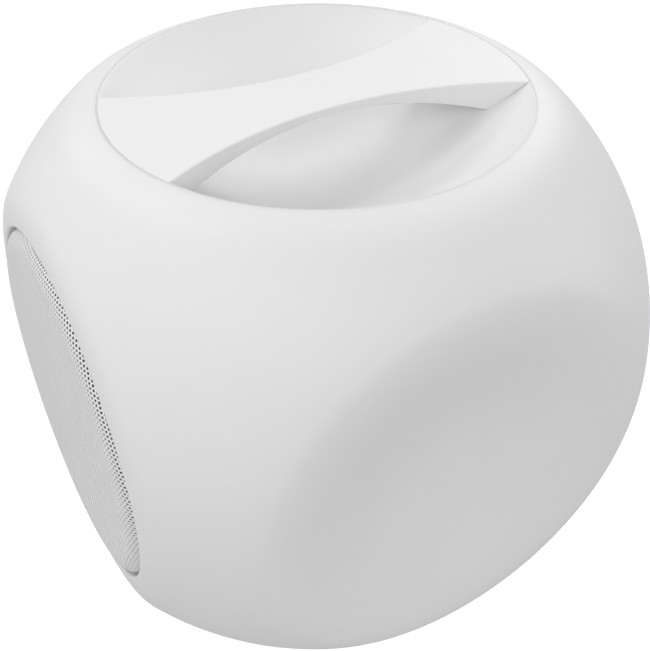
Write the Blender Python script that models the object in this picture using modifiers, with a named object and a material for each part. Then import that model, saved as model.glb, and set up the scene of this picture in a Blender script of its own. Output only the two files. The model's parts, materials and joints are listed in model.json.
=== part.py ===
"""Rounded-cube shower speaker: a hollow white body with a carrying bowl and a loudspeaker.

Frame: +Z up, -Y is the loudspeaker side, origin at the middle of the box's base.
Sizes are in millimetres and become metres where a mesh is made. Every piece hangs on
one of three empties: the body's centre, the front axis (local +Z runs out of the
loudspeaker face, local Y up) and the back axis (local +Z runs out of the back, local Y up).
"""
import math

import bmesh
import bpy
from mathutils import Vector

MM = 0.001
GAP = 0.3                       # clearance between pieces that touch
PHASE = math.radians(3)         # keeps the corners of turned pieces off the body's symmetry planes

# Body: a near-sphere with two flat faces (top, front) and four dished ones.
HALF = 90.0                     # half of the nominal cube
SPHERE = 1.2775 * HALF          # radius of the rounded form
ROUNDNESS = 2.03                # exponent of the rounded form, 2 is a true sphere
TOP_FLAT = 1.005 * HALF         # height of the top's flat rim
FRONT_FLAT = 1.045 * HALF       # distance of the front's flat rim
FLAT_BLEND = 0.06 * HALF        # rounding where a flat meets the sphere
FLAT_SLOPE = 0.3                # a flat is looked for only in directions this close to its axis
DISH_FLOOR = 0.835 * HALF       # distance of the middle of the back's or the bottom's dish
DISH_RADIUS = 1.4421 * HALF     # curvature of those dishes
DISH_BLEND = 0.22 * HALF        # rounding of their rims
SIDE_FLOOR = 0.924 * HALF       # distance of the middle of a side's shallower dish
SIDE_CURVE = 0.565              # how fast it rises from its middle
SIDE_EASING = 0.157             # how far the rise eases off towards its rim
SIDE_BLEND = 0.484 * HALF       # rounding of its wide rim
SIDE_ROUNDS = 12                # rounds of the search for its surface
SIDE_SLOPE = 0.35               # the same limit as for a flat
WALL = 3.2
OUTER_DIVISIONS = 14
INNER_DIVISIONS = 6
RIM_RING = 0.72                 # the grid's lines are circles up to this share of a face
RING_CROWDING = 0.55            # brings those circles closer together near the rim

# Top: bowl and handle.
RIM_Z = 1.0 * HALF
RIM_R = 0.742 * HALF
BOWL_DEPTH = 0.36 * HALF
BOWL_R = (RIM_R**2 + BOWL_DEPTH**2) / (2 * BOWL_DEPTH)
BOWL_CENTRE_Z = RIM_Z - BOWL_DEPTH + BOWL_R
CUP_WALL = 2.5
CUP_LIP = 0.5
CUP_SEAT_R = 63.5
CUP_SEAT_Z = 76.5
HANDLE_WAIST = 0.137 * HALF     # half width at the middle
HANDLE_FLARE_R = 1.39 * HALF    # radius of the handle's hollow sides
HANDLE_MIDDLE = 0.029 * HALF    # thickness at the middle
HANDLE_ARCH = 0.2 / HALF        # thickening towards the ends, per square millimetre
HANDLE_SCREW = (13.0, 57.0)

# Front: loudspeaker. Heights run along the front axis.
FRONT_SEAT = 86.8
SEAT_WALL = 3.2
FRONT_RECESS_R = 60.3
FRONT_OPENING_R = 50.3
GRILLE_R = 59.7
GRILLE_SHEET = 1.0
GRILLE_SHOULDER = (5.4, 4.0)
GRILLE_FACE = 1.065 * HALF
GRILLE_DOME = 0.5
BAFFLE_BACK = FRONT_SEAT + GAP + 1.0 + GAP
BAFFLE_FACE = BAFFLE_BACK + 3.0
BAFFLE_R = GRILLE_R - GRILLE_SHEET - 0.4
CHAMBER_R = 49.2
CHAMBER_BACK = 36.0
CHAMBER_WALL = 2.5
DRIVER_SEAT = 85.4
DRIVER_HOLE_R = 38.5
FLANGE_BACK = DRIVER_SEAT + GAP
FLANGE_FACE = FLANGE_BACK + 1.2
FLANGE_R = 45.5
ROLL_R = 3.2
ROLL_MIDDLE_R = 34.0
COIL_R = 12.5
GAP_OUTER_R = 13.6
POLE_R = 11.4
BASKET_FLOOR = 66.8
BAFFLE_SCREW_R = 54.8
DRIVER_SCREW_R = 42.4

# Battery, on the back of the speaker chamber.
CELL_R = 9.1
CELL_LENGTH = 65.0
CELL_OFFSET = 9.6

# Back: control panel and electronics. Heights run along the back axis.
BACK_SEAT = 77.0
BACK_OPENING_R = 33.5
BACK_RECESS_R = 40.3
PANEL_R = 39.9
PANEL_BACK = BACK_SEAT + GAP + 0.8 + GAP
PANEL_FACE = PANEL_BACK + 3.0
PANEL_SCREW_R = 36.8
HOUSING_R = 33.0
HOUSING_END = 34.0
HOUSING_WALL = 2.0
BOARD_LEVEL = 70.0
BUTTON_PROUD = 1.0
BUTTON_R = 4.4
BUTTONS = {                     # right and up on the panel, as seen from behind
    "power_button": (-9.0, 21.0),
    "light_button": (9.0, 21.0),
    "volume_down_button": (-17.0, 5.0),
    "play_button": (0.0, 5.0),
    "volume_up_button": (17.0, 5.0),
}
PORT_Y = -16.8
USB_X = -7.5
AUX_X = 7.5
FLAP_SIZE = (30.0, 13.0)
FLAP_THICK = 1.8
FLAP_POCKET = 2.0
HINGE_R = FLAP_THICK / 2

# Feet
FOOT_R = 5.5
FOOT_RING_R = 68.5
FOOT_POCKET_Z = -88.2
FOOT_PROUD = 2.0
BODY_BOTTOM = 91.1              # body centre to the lowest point of its bottom rim

# The body's centre in the part's frame
CENTRE_Y = (GRILLE_FACE + GRILLE_DOME - BODY_BOTTOM) / 2
CENTRE_Z = BODY_BOTTOM + FOOT_PROUD


# ---------------------------------------------------------------- scene helpers

for stale in list(bpy.data.objects):
    bpy.data.objects.remove(stale, do_unlink=True)

PARTS = bpy.data.collections.new("shower_speaker")
CUTTERS = bpy.data.collections.new("cutters")
for collection in (PARTS, CUTTERS):
    bpy.context.scene.collection.children.link(collection)


def empty(name, parent, location, rotation):
    """An empty that places the pieces parented to it."""
    marker = bpy.data.objects.new(name, None)
    marker.parent = parent
    marker.location = Vector(location) * MM
    marker.rotation_euler = rotation
    marker.empty_display_size = 0.02
    PARTS.objects.link(marker)
    return marker


CENTRE = empty("body_centre", None, (0, CENTRE_Y, CENTRE_Z), (0, 0, 0))
FRONT = empty("front_axis", CENTRE, (0, 0, 0), (math.pi / 2, 0, 0))
BACK = empty("back_axis", CENTRE, (0, 0, 0), (math.pi / 2, 0, math.pi))


def paint(name, colour, roughness, metallic=0.0):
    """A Principled material."""
    material = bpy.data.materials.new(name)
    material.use_nodes = True
    shader = material.node_tree.nodes["Principled BSDF"]
    shader.inputs["Base Color"].default_value = (*colour, 1.0)
    shader.inputs["Roughness"].default_value = roughness
    shader.inputs["Metallic"].default_value = metallic
    return material


def add(name, mesh, parent, location, material):
    """Put a mesh in the scene as a part, or as a cutter where it has no material."""
    piece = bpy.data.objects.new(name, mesh)
    piece.parent = parent
    piece.location = Vector(location) * MM
    if material is None:
        CUTTERS.objects.link(piece)
        piece.hide_render = True
        piece.display_type = "WIRE"
        return piece
    PARTS.objects.link(piece)
    mesh.materials.append(material)
    return piece


def smooth(piece, angle=35):
    """Shade round faces smooth and keep true edges sharp."""
    piece.data.shade_smooth()
    piece.data.set_sharp_from_angle(angle=math.radians(angle))


def boolean(piece, cutters, operation="DIFFERENCE"):
    """Cut a piece with each cutter, or join a shape to it."""
    for cutter in cutters:
        step = piece.modifiers.new(cutter.name, "BOOLEAN")
        step.operation = operation
        step.solver = "EXACT"
        step.object = cutter
    return piece


def turned(name, profile, parent, material=None, location=(0, 0, 0), steps=32):
    """A turned solid. The profile is (radius, height) points in order round the section."""
    closed = profile[0][0] > 0 or profile[-1][0] > 0
    following = profile[1:] + profile[:1]
    area = sum(r0 * h1 - r1 * h0 for (r0, h0), (r1, h1) in zip(profile, following))
    if area > 0:
        profile = profile[::-1]
    shape = bmesh.new()
    points = [shape.verts.new((r * MM, 0, h * MM)) for r, h in profile]
    for first, second in zip(points, points[1:]):
        shape.edges.new((first, second))
    if closed:
        shape.edges.new((points[-1], points[0]))
    mesh = bpy.data.meshes.new(name)
    shape.to_mesh(mesh)
    shape.free()
    piece = add(name, mesh, parent, location, material)
    piece.rotation_euler = (0, 0, PHASE)
    screw = piece.modifiers.new("turn", "SCREW")
    screw.steps = steps
    screw.render_steps = steps
    screw.use_merge_vertices = True
    screw.merge_threshold = 0.00001
    screw.use_smooth_shade = True
    return piece


def rod(name, radius, low, high, parent, material=None, at=(0, 0), steps=12):
    """A cylinder from one height to another."""
    profile = [(0, high), (radius, high), (radius, low), (0, low)]
    return turned(name, profile, parent, material, (at[0], at[1], 0), steps)


def ring(name, inner, outer, low, high, parent, material=None, steps=28):
    """A flat ring from one height to another."""
    profile = [(inner, high), (outer, high), (outer, low), (inner, low)]
    return turned(name, profile, parent, material, steps=steps)


def block(name, size, centre, parent, material=None, bevel=0.0):
    """A box, with rounded edges where a bevel is given."""
    shape = bmesh.new()
    bmesh.ops.create_cube(shape, size=MM)
    bmesh.ops.scale(shape, vec=size, verts=shape.verts[:])
    mesh = bpy.data.meshes.new(name)
    shape.to_mesh(mesh)
    shape.free()
    piece = add(name, mesh, parent, centre, material)
    if bevel:
        rounding = piece.modifiers.new("edges", "BEVEL")
        rounding.width = bevel * MM
        rounding.segments = 2
    return piece


def plate(name, outline, low, high, parent, material=None, location=(0, 0, 0)):
    """A flat outline given thickness, made as a filled curve and then meshed."""
    flat = bpy.data.curves.new(name, "CURVE")
    flat.dimensions = "2D"
    flat.fill_mode = "BOTH"
    flat.extrude = (high - low) / 2 * MM
    spline = flat.splines.new("POLY")
    spline.points.add(len(outline) - 1)
    for point, (x, y) in zip(spline.points, outline):
        point.co = (x * MM, y * MM, 0, 1)
    spline.use_cyclic_u = True
    guide = bpy.data.objects.new(name + "_outline", flat)
    CUTTERS.objects.link(guide)
    bpy.context.view_layer.update()
    depsgraph = bpy.context.evaluated_depsgraph_get()
    mesh = bpy.data.meshes.new_from_object(guide.evaluated_get(depsgraph))
    bpy.data.objects.remove(guide)
    shape = bmesh.new()
    shape.from_mesh(mesh)
    bmesh.ops.remove_doubles(shape, verts=shape.verts[:], dist=0.00001)
    bmesh.ops.translate(shape, vec=(0, 0, (low + high) / 2 * MM), verts=shape.verts[:])
    bmesh.ops.recalc_face_normals(shape, faces=shape.faces[:])
    shape.to_mesh(mesh)
    shape.free()
    return add(name, mesh, parent, location, material)


def wire(name, controls, radius, parent, material):
    """A round lead along a cubic Bezier through four control points."""
    start, first, second, end = (Vector(point) * MM for point in controls)
    lead = bpy.data.curves.new(name, "CURVE")
    lead.dimensions = "3D"
    lead.bevel_depth = radius * MM
    lead.bevel_resolution = 2
    lead.use_fill_caps = True
    spline = lead.splines.new("POLY")
    count = 15
    spline.points.add(count - 1)
    for number, point in enumerate(spline.points):
        t = number / (count - 1)
        u = 1 - t
        place = start * u**3 + first * 3 * u * u * t + second * 3 * u * t * t + end * t**3
        point.co = (*place, 1)
    piece = bpy.data.objects.new(name, lead)
    piece.parent = parent
    lead.materials.append(material)
    PARTS.objects.link(piece)
    return piece


def arc(centre, radius, start, stop, count):
    """Points on a circle or, with two radii, an ellipse. Angles in degrees."""
    wide, tall = radius if isinstance(radius, tuple) else (radius, radius)
    points = []
    for number in range(count + 1):
        angle = math.radians(start + (stop - start) * number / count)
        points.append((centre[0] + wide * math.cos(angle), centre[1] + tall * math.sin(angle)))
    return points


def around(radius, count, first=0.0):
    """Evenly spaced places on a circle."""
    turns = [math.radians(first + 360 * number / count) for number in range(count)]
    return [(radius * math.cos(turn), radius * math.sin(turn)) for turn in turns]


# ---------------------------------------------------------------- materials

BODY_WHITE = paint("body_white", (0.78, 0.78, 0.77), 0.45)
HANDLE_WHITE = paint("handle_white", (0.84, 0.84, 0.83), 0.35)
GRILLE_WHITE = paint("grille_white", (0.74, 0.74, 0.74), 0.4, 0.2)
BLACK_PLASTIC = paint("black_plastic", (0.03, 0.03, 0.03), 0.5)
BLACK_CLOTH = paint("black_cloth", (0.02, 0.02, 0.02), 0.9)
SOFT_RUBBER = paint("soft_rubber", (0.05, 0.05, 0.05), 0.8)
WHITE_RUBBER = paint("white_rubber", (0.66, 0.66, 0.65), 0.7)
CONE_PAPER = paint("cone_paper", (0.05, 0.05, 0.055), 0.85)
SPIDER_CLOTH = paint("spider_cloth", (0.55, 0.4, 0.15), 0.9)
COPPER = paint("copper", (0.75, 0.35, 0.16), 0.35, 1.0)
STEEL = paint("steel", (0.55, 0.55, 0.55), 0.35, 1.0)
FERRITE = paint("ferrite", (0.06, 0.06, 0.065), 0.6)
BOARD_GREEN = paint("board_green", (0.02, 0.16, 0.07), 0.45)
BOARD_WHITE = paint("board_white", (0.8, 0.8, 0.78), 0.4)
CELL_BLUE = paint("cell_blue", (0.05, 0.15, 0.4), 0.4)
CLEAR_PLASTIC = paint("clear_plastic", (0.85, 0.85, 0.85), 0.3)
PANEL_GREY = paint("panel_grey", (0.6, 0.6, 0.6), 0.5)
LEAD_RED = paint("lead_red", (0.45, 0.03, 0.03), 0.5)


# ---------------------------------------------------------------- body

def blend(first, second, width):
    """Smooth minimum of two distances."""
    share = min(max(0.5 + 0.5 * (second - first) / width, 0.0), 1.0)
    return second * (1 - share) + first * share - width * share * (1 - share)


def side_dish(slope):
    """Distance from the body's centre to the dish of a side along a direction."""
    across = math.sqrt(max(1 - slope * slope, 0.0)) / slope
    height = SIDE_FLOOR
    for _ in range(SIDE_ROUNDS):
        out = min(height * across / HALF, 1.0)
        rise = SIDE_CURVE * out**2 - SIDE_EASING * out**4
        height = (height + SIDE_FLOOR + rise * HALF) / 2
    return height / slope


def body_radius(direction):
    """Distance from the body's centre to its surface along a unit direction."""
    x, y, z = direction
    total = abs(x) ** ROUNDNESS + abs(y) ** ROUNDNESS + abs(z) ** ROUNDNESS
    radius = SPHERE / total ** (1 / ROUNDNESS)
    for slope, distance in ((z, TOP_FLAT), (-y, FRONT_FLAT)):
        if slope > FLAT_SLOPE:
            radius = blend(radius, distance / slope, FLAT_BLEND)
    far = DISH_FLOOR + DISH_RADIUS
    for slope in (y, -z):
        reach = slope * far
        inside = reach * reach - (far * far - DISH_RADIUS * DISH_RADIUS)
        if slope > 0 and inside > 0:
            radius = blend(radius, reach - math.sqrt(inside), DISH_BLEND)
    if abs(x) > SIDE_SLOPE:
        radius = blend(radius, side_dish(abs(x)), SIDE_BLEND)
    return radius


def grid_direction(point):
    """Direction of a point of a divided cube, with the lines round each face's middle bent
    into circles that follow the round rims."""
    axis = max(range(3), key=lambda index: abs(point[index]))
    across, along = [index for index in range(3) if index != axis]
    u, v = point[across], point[along]
    ring = max(abs(u), abs(v))
    square = (math.tan(u * math.pi / 4), math.tan(v * math.pi / 4))
    reach = math.tan(ring**RING_CROWDING * math.pi / 4) / max(math.hypot(u, v), 0.000001)
    share = min(max((ring - RIM_RING) / (1 - RIM_RING), 0.0), 1.0)
    direction = Vector((0, 0, 0))
    direction[axis] = math.copysign(1, point[axis])
    direction[across] = share * square[0] + (1 - share) * u * reach
    direction[along] = share * square[1] + (1 - share) * v * reach
    return direction.normalized()


def rounded_cube(name, divisions, inset, material=None):
    """The body's form, or one set in by a wall, from an evenly divided cube."""
    shape = bmesh.new()
    bmesh.ops.create_cube(shape, size=2)
    bmesh.ops.subdivide_edges(
        shape, edges=shape.edges[:], cuts=divisions - 1, use_grid_fill=True
    )
    for vertex in shape.verts:
        direction = grid_direction(vertex.co)
        vertex.co = direction * (body_radius(direction) - inset) * MM
    mesh = bpy.data.meshes.new(name)
    shape.to_mesh(mesh)
    shape.free()
    return add(name, mesh, CENTRE, (0, 0, 0), material)


def bowl_z(radius, offset=0.0):
    """Height of the bowl's surface, or of one set off outwards, at a radius."""
    reach = BOWL_R + offset
    return BOWL_CENTRE_Z - math.sqrt(reach * reach - radius * radius)


def bowl_arc(offset, edge_radius, count=6):
    """Section of the bowl from its edge to the axis."""
    points = []
    for number in range(count + 1):
        radius = edge_radius * (1 - number / count)
        points.append((radius, bowl_z(radius, offset)))
    return points


FOOT_SPOTS = around(FOOT_RING_R, 4, 45)
BAFFLE_SCREWS = around(BAFFLE_SCREW_R, 4, 50)
DRIVER_SCREWS = around(DRIVER_SCREW_R, 4, 5)
PANEL_SCREWS = around(PANEL_SCREW_R, 4, 50)
HANDLE_SCREWS = [(x * HANDLE_SCREW[0], y * HANDLE_SCREW[1]) for x in (-1, 1) for y in (-1, 1)]
SCREW_HOLE_R = 1.8
SCREW_SHANK_R = 1.5
SCREW_HEAD_R = 2.6
SCREW_HEAD = 1.4


def holes(name, spots, low, high, parent, radius=SCREW_HOLE_R, steps=12):
    """A row of round cutters."""
    return [
        rod(f"{name}_{number}", radius, low, high, parent, at=spot, steps=steps)
        for number, spot in enumerate(spots, 1)
    ]


def screws(name, spots, head_low, tip, parent):
    """Screws with their heads' undersides at one height and their tips at another."""
    out = 1 if tip < head_low else -1
    for number, spot in enumerate(spots, 1):
        profile = [
            (0, head_low + out * SCREW_HEAD),
            (SCREW_HEAD_R, head_low + out * SCREW_HEAD),
            (SCREW_HEAD_R, head_low),
            (SCREW_SHANK_R, head_low),
            (SCREW_SHANK_R, tip),
            (0, tip),
        ]
        turned(f"{name}_{number}", profile, parent, STEEL, (*spot, 0), steps=10)


def make_body():
    """The hollow body, with a seat for the baffle, the bowl, the panel and each foot."""
    cavity = rounded_cube("cavity", INNER_DIVISIONS, WALL)
    seats = [
        ring("front_seat", 48, FRONT_RECESS_R + SEAT_WALL, FRONT_SEAT - SEAT_WALL, 100, FRONT),
        ring("back_seat", 31, BACK_RECESS_R + SEAT_WALL, BACK_SEAT - 3.5, 100, BACK),
        ring("top_seat", CUP_SEAT_R, RIM_R + SEAT_WALL, CUP_SEAT_Z, 100, CENTRE),
    ]
    bosses = [
        rod(f"foot_boss_{number}", FOOT_R + SEAT_WALL, -100, FOOT_POCKET_Z + SEAT_WALL, CENTRE, at=spot)
        for number, spot in enumerate(FOOT_SPOTS, 1)
    ]
    boolean(cavity, seats + bosses)

    opening_r = RIM_R + CUP_LIP + GAP
    top_profile = [(0, 110), (opening_r, 110)] + bowl_arc(CUP_WALL + GAP, opening_r)
    front_profile = [
        (0, 110), (FRONT_RECESS_R, 110), (FRONT_RECESS_R, FRONT_SEAT),
        (FRONT_OPENING_R, FRONT_SEAT), (FRONT_OPENING_R, 70), (0, 70),
    ]
    back_profile = [
        (0, 110), (BACK_RECESS_R, 110), (BACK_RECESS_R, BACK_SEAT),
        (BACK_OPENING_R, BACK_SEAT), (BACK_OPENING_R, 60), (0, 60),
    ]
    shell = rounded_cube("body_shell", OUTER_DIVISIONS, 0, BODY_WHITE)
    smooth(shell, 60)
    boolean(shell, [
        cavity,
        turned("top_opening", top_profile, CENTRE, steps=40),
        turned("front_opening", front_profile, FRONT, steps=40),
        turned("back_opening", back_profile, BACK),
    ])
    boolean(shell, holes("foot_pocket", FOOT_SPOTS, -110, FOOT_POCKET_Z, CENTRE, FOOT_R + GAP, 16))
    boolean(shell, holes("seat_hole", BAFFLE_SCREWS, 80, 90, FRONT))
    boolean(shell, holes("panel_seat_hole", PANEL_SCREWS, 70, 80, BACK))


def make_feet():
    """Four rubber feet pressed into the bottom rim."""
    top = FOOT_POCKET_Z - GAP
    base = -BODY_BOTTOM - FOOT_PROUD
    for number, spot in enumerate(FOOT_SPOTS, 1):
        profile = [(0, top), (FOOT_R, top), (FOOT_R, base + 0.8), (FOOT_R - 0.8, base), (0, base)]
        turned(f"foot_{number}", profile, CENTRE, SOFT_RUBBER, (*spot, 0), steps=16)


# ---------------------------------------------------------------- bowl and handle

def make_cup():
    """The bowl under the handle, with four screw bosses beneath it."""
    lip_r = RIM_R + CUP_LIP
    blank = [(0, RIM_Z), (lip_r, RIM_Z)] + bowl_arc(CUP_WALL, lip_r)
    cup = turned("handle_cup", blank, CENTRE, BODY_WHITE, steps=40)
    boss_base = 70.0
    bosses = [
        rod(f"cup_boss_{number}", 4.2, boss_base, RIM_Z - 2, CENTRE, at=spot)
        for number, spot in enumerate(HANDLE_SCREWS, 1)
    ]
    hollow = [(0, 110), (RIM_R, 110)] + bowl_arc(0, RIM_R)
    boolean(cup, bosses, "UNION")
    boolean(cup, [turned("bowl_hollow", hollow, CENTRE, steps=40)])
    boolean(cup, holes("cup_hole", HANDLE_SCREWS, 60, 85, CENTRE))
    screws("handle_screw", HANDLE_SCREWS, boss_base - GAP, 87.0, CENTRE)


def make_handle():
    """The bow-tie bar: hollow sides, an arched underside, ends that follow the bowl."""
    stations = [-68 + 136 * number / 16 for number in range(17)]
    side = [
        (HANDLE_WAIST + HANDLE_FLARE_R - math.sqrt(HANDLE_FLARE_R**2 - y * y), y)
        for y in stations
    ]
    outline = side + [(-x, y) for x, y in reversed(side)]
    handle = plate("carry_handle", outline, 72, RIM_Z, CENTRE, HANDLE_WHITE)
    arch = [(y, RIM_Z - HANDLE_MIDDLE - HANDLE_ARCH * y * y) for y in stations]
    under = plate("under_handle", arch + [(68, 60), (-68, 60)], -45, 45, CENTRE)
    under.rotation_euler = (math.pi / 2, 0, math.pi / 2)
    bowl_space = turned(
        "bowl_space", [(0, 110), (RIM_R, 110)] + bowl_arc(-GAP, RIM_R - 0.5, 8), CENTRE, steps=40
    )
    boolean(handle, [under])
    boolean(handle, [bowl_space], "INTERSECT")
    boolean(handle, holes("handle_hole", HANDLE_SCREWS, 70, 87.4, CENTRE))


# ---------------------------------------------------------------- loudspeaker

def make_grille():
    """The pressed pan over the loudspeaker and the black cloth behind it."""
    wide, tall = GRILLE_SHOULDER
    skirt_top = GRILLE_FACE - tall
    skirt_base = BAFFLE_BACK
    face_r = GRILLE_R - wide
    outside = arc((face_r, skirt_top), (wide, tall), 90, 0, 4)
    inside = arc(
        (face_r - 0.4, skirt_top), (wide - GRILLE_SHEET + 0.4, tall - GRILLE_SHEET), 0, 90, 4
    )
    profile = [(0, GRILLE_FACE + GRILLE_DOME)] + outside + [(GRILLE_R, skirt_base)]
    profile += [(GRILLE_R - GRILLE_SHEET, skirt_base)] + inside
    profile += [(0, GRILLE_FACE + GRILLE_DOME - GRILLE_SHEET)]
    turned("grille", profile, FRONT, GRILLE_WHITE, steps=40)
    cloth_face = GRILLE_FACE - GRILLE_SHEET - GAP
    rod("acoustic_scrim", 52.5, cloth_face - 0.4, cloth_face, FRONT, BLACK_CLOTH, steps=28)


def make_baffle():
    """The stepped ring that carries the driver, its gasket and its screws."""
    step_r = 46.0
    baffle = turned("speaker_baffle", [
        (DRIVER_HOLE_R, DRIVER_SEAT - 3), (DRIVER_HOLE_R, DRIVER_SEAT),
        (step_r, DRIVER_SEAT), (step_r, BAFFLE_FACE),
        (BAFFLE_R, BAFFLE_FACE), (BAFFLE_R, BAFFLE_BACK),
        (CHAMBER_R, BAFFLE_BACK), (CHAMBER_R, DRIVER_SEAT - 3),
    ], FRONT, BLACK_PLASTIC)
    boolean(baffle, holes("baffle_hole", BAFFLE_SCREWS, 80, 100, FRONT))
    boolean(baffle, holes("driver_hole", DRIVER_SCREWS, 70, 88, FRONT))
    low = FRONT_SEAT + GAP
    gasket = ring("baffle_gasket", 51, 58.8, low, low + 1.0, FRONT, SOFT_RUBBER)
    boolean(gasket, holes("gasket_hole", BAFFLE_SCREWS, 80, 100, FRONT))
    screws("baffle_screw", BAFFLE_SCREWS, BAFFLE_FACE + GAP, FRONT_SEAT - 2.4, FRONT)


def make_chamber():
    """The closed box behind the driver."""
    top = DRIVER_SEAT - 3 - GAP
    inner = CHAMBER_R - CHAMBER_WALL
    turned("speaker_chamber", [
        (0, CHAMBER_BACK + CHAMBER_WALL), (inner, CHAMBER_BACK + CHAMBER_WALL), (inner, top),
        (CHAMBER_R, top), (CHAMBER_R, CHAMBER_BACK), (0, CHAMBER_BACK),
    ], FRONT, BLACK_PLASTIC, steps=32)


def make_driver():
    """The loudspeaker: basket, motor, and the moving cone, cap and coil."""
    floor = BASKET_FLOOR
    basket = turned("driver_basket", [
        (FLANGE_R, FLANGE_FACE), (FLANGE_R, FLANGE_BACK), (38.0, FLANGE_BACK),
        (36.0, floor + 11.2), (24.0, floor + 1.2), (24.0, floor), (15.0, floor),
        (15.0, floor + 1.2), (22.6, floor + 1.2), (34.8, floor + 11.6), (36.6, FLANGE_FACE),
    ], FRONT, STEEL, steps=32)
    windows = [
        block("window_across", (90, 18, 6.5), (0, 0, floor + 6.4), FRONT),
        block("window_upright", (18, 90, 6.5), (0, 0, floor + 6.4), FRONT),
    ]
    boolean(basket, windows)
    boolean(basket, holes("flange_hole", DRIVER_SCREWS, 80, 90, FRONT))
    screws("driver_screw", DRIVER_SCREWS, FLANGE_FACE + GAP, DRIVER_SEAT - 4.4, FRONT)

    plate_face = floor - GAP
    ring("top_plate", GAP_OUTER_R, 24.0, plate_face - 4.3, plate_face, FRONT, STEEL, 24)
    magnet_face = plate_face - 4.3 - GAP
    ring("magnet", 15.5, 27.0, magnet_face - 9.7, magnet_face, FRONT, FERRITE, 24)
    yoke_face = magnet_face - 9.7 - GAP
    turned("yoke", [
        (0, plate_face), (POLE_R, plate_face), (POLE_R, yoke_face),
        (24.0, yoke_face), (24.0, yoke_face - 4), (0, yoke_face - 4),
    ], FRONT, STEEL, steps=24)

    lip = FLANGE_FACE + GAP
    sheet = 0.6
    roll = (ROLL_MIDDLE_R, lip)
    turned("surround", [(ROLL_MIDDLE_R + 5.2, lip + sheet), (ROLL_MIDDLE_R + 5.2, lip)]
           + arc(roll, ROLL_R - sheet, 0, 180, 4)
           + [(ROLL_MIDDLE_R - 5.2, lip), (ROLL_MIDDLE_R - 5.2, lip + sheet)]
           + arc(roll, ROLL_R, 169, 11, 4), FRONT, SOFT_RUBBER, steps=28)

    neck_r = COIL_R + 0.4
    edge = FLANGE_FACE
    turned("driver_cone", [
        (31.0, edge), (31.0, edge - 0.7), (29.2, edge - 0.7), (neck_r, edge - 12.3),
        (neck_r, edge - 11.3), (28.9, edge),
    ], FRONT, CONE_PAPER, steps=32)
    cap_edge = edge - 10.0
    turned("dust_cap", arc((0, cap_edge), (14.2, 4.0), 90, 0, 3)
           + arc((0, cap_edge), (13.6, 3.4), 0, 90, 3), FRONT, CONE_PAPER, steps=20)
    coil_top = edge - 11.0
    coil_low = 60.0
    turned("voice_coil", [
        (COIL_R - 0.5, coil_top), (COIL_R, coil_top), (COIL_R, coil_low + 6),
        (COIL_R + 0.6, coil_low + 6), (COIL_R + 0.6, coil_low), (COIL_R - 0.5, coil_low),
    ], FRONT, COPPER, steps=24)

    spider_level = floor + 3.4
    waves = 2
    spider_inner = COIL_R + 0.3
    spider_outer = 23.6
    upper = []
    for number in range(waves * 4 + 1):
        share = number / (waves * 4)
        radius = spider_inner + (spider_outer - spider_inner) * share
        upper.append((radius, spider_level + 0.5 * math.sin(share * waves * math.tau)))
    lower = [(radius, height - 0.4) for radius, height in reversed(upper)]
    turned("spider", upper + lower, FRONT, SPIDER_CLOTH, steps=20)


def make_battery():
    """Two round cells in a tray on the chamber's back."""
    width = CELL_LENGTH + 5
    height = 4 * CELL_OFFSET + 3.6
    face = CHAMBER_BACK - GAP
    depth = 19.7
    tray = block("battery_holder", (width, height, depth), (0, 0, face - depth / 2), FRONT, BLACK_PLASTIC)
    pocket = block(
        "cell_pocket", (width - 3.4, height - 3.2, depth), (0, 0, face - 1.5 - depth / 2), FRONT
    )
    boolean(tray, [pocket])
    cell_level = face - 1.5 - GAP - CELL_R
    for number, offset in enumerate((-CELL_OFFSET, CELL_OFFSET), 1):
        half = CELL_LENGTH / 2
        cell = turned(f"battery_cell_{number}", [
            (0, half), (3.0, half), (3.0, half - 1.2), (CELL_R, half - 1.2), (CELL_R, -half), (0, -half),
        ], FRONT, CELL_BLUE, (0, offset, cell_level), steps=16)
        cell.rotation_euler = (0, math.pi / 2, 0)


# ---------------------------------------------------------------- back

def make_panel():
    """The control panel with its gasket and screws."""
    face = PANEL_FACE
    panel = rod("control_panel", PANEL_R, PANEL_BACK, face, BACK, PANEL_GREY, steps=32)
    openings = [
        rod(f"{name}_hole", BUTTON_R + 0.4, 70, 90, BACK, at=spot)
        for name, spot in BUTTONS.items()
    ]
    openings.append(rod("light_hole", 1.4, 70, 90, BACK, at=(0, 28)))
    openings.append(rod("aux_hole", 3.4, 70, 90, BACK, at=(AUX_X, PORT_Y)))
    openings.append(block("usb_slot", (9.8, 4.0, 20), (USB_X, PORT_Y, 80), BACK))
    pocket_size = (FLAP_SIZE[0] + 2 * GAP, FLAP_SIZE[1] + 2 * GAP, 2 * FLAP_POCKET)
    openings.append(block("flap_pocket", pocket_size, (0, PORT_Y, face), BACK))
    openings += holes("panel_hole", PANEL_SCREWS, 70, 90, BACK)
    openings += holes("head_hole", PANEL_SCREWS, face - 1.6, 90, BACK, SCREW_HEAD_R + 0.4)
    boolean(panel, openings)
    low = BACK_SEAT + GAP
    gasket = ring("panel_gasket", 34.0, 39.6, low, low + 0.8, BACK, SOFT_RUBBER)
    boolean(gasket, holes("panel_gasket_hole", PANEL_SCREWS, 70, 90, BACK))
    screws("panel_screw", PANEL_SCREWS, face - 1.6 + GAP, BACK_SEAT - 2.5, BACK)


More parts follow.
